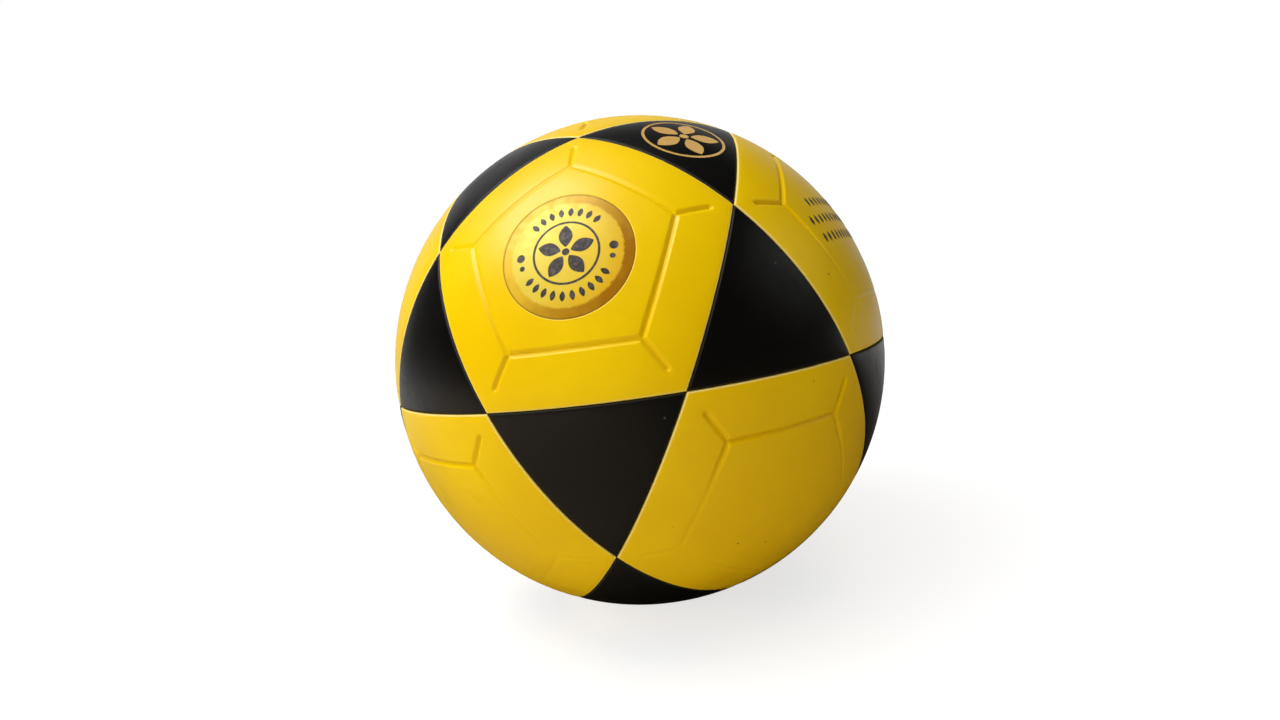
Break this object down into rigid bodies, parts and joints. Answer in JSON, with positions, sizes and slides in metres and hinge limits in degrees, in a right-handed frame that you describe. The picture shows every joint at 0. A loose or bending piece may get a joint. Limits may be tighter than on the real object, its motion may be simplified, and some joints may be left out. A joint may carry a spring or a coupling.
{
  "type": "footvolley ball",
  "caption": "Inflated footvolley ball with grooved yellow pentagon panels and plain black triangle panels, a wound inner layer, an air bladder and a needle valve.",
  "frame": {"origin": "centre of the ball", "axes": "+Z out through the valve, at the middle of the valve panel; -Y on the side of pentagon_panel_02"},
  "size_m": [0.22, 0.22, 0.2199],
  "materials": {
    "yellow_skin": "satin",
    "black_skin": "satin",
    "carcass_rubber": "matte",
    "winding_nylon": "matte",
    "bladder_rubber": "matte",
    "valve_rubber": "matte",
    "core_rubber": "matte"
  },
  "bodies": {
    "ball": {"valve_panel": "yellow_skin", "pentagon_panel_02": "yellow_skin", "pentagon_panel_03": "yellow_skin", "pentagon_panel_04": "yellow_skin", "pentagon_panel_05": "yellow_skin", "pentagon_panel_06": "yellow_skin", "pentagon_panel_07": "yellow_skin", "pentagon_panel_08": "yellow_skin", "pentagon_panel_09": "yellow_skin", "pentagon_panel_10": "yellow_skin", "pentagon_panel_11": "yellow_skin", "pentagon_panel_12": "yellow_skin", "triangle_panel_01": "black_skin", "triangle_panel_02": "black_skin", "triangle_panel_03": "black_skin", "triangle_panel_04": "black_skin", "triangle_panel_05": "black_skin", "triangle_panel_06": "black_skin", "triangle_panel_07": "black_skin", "triangle_panel_08": "black_skin", "triangle_panel_09": "black_skin", "triangle_panel_10": "black_skin", "triangle_panel_11": "black_skin", "triangle_panel_12": "black_skin", "triangle_panel_13": "black_skin", "triangle_panel_14": "black_skin", "triangle_panel_15": "black_skin", "triangle_panel_16": "black_skin", "triangle_panel_17": "black_skin", "triangle_panel_18": "black_skin", "triangle_panel_19": "black_skin", "triangle_panel_20": "black_skin", "carcass": "carcass_rubber", "winding_layer": "winding_nylon", "bladder": "bladder_rubber", "valve_housing": "valve_rubber"},
    "plug": {"valve_core": "core_rubber"}
  },
  "joints": [
    {"name": "valve_core_pull", "type": "slide", "parent": "ball", "child": "plug", "axis": [0, 0, 1], "range_m": [0, 0.014]}
  ]
}
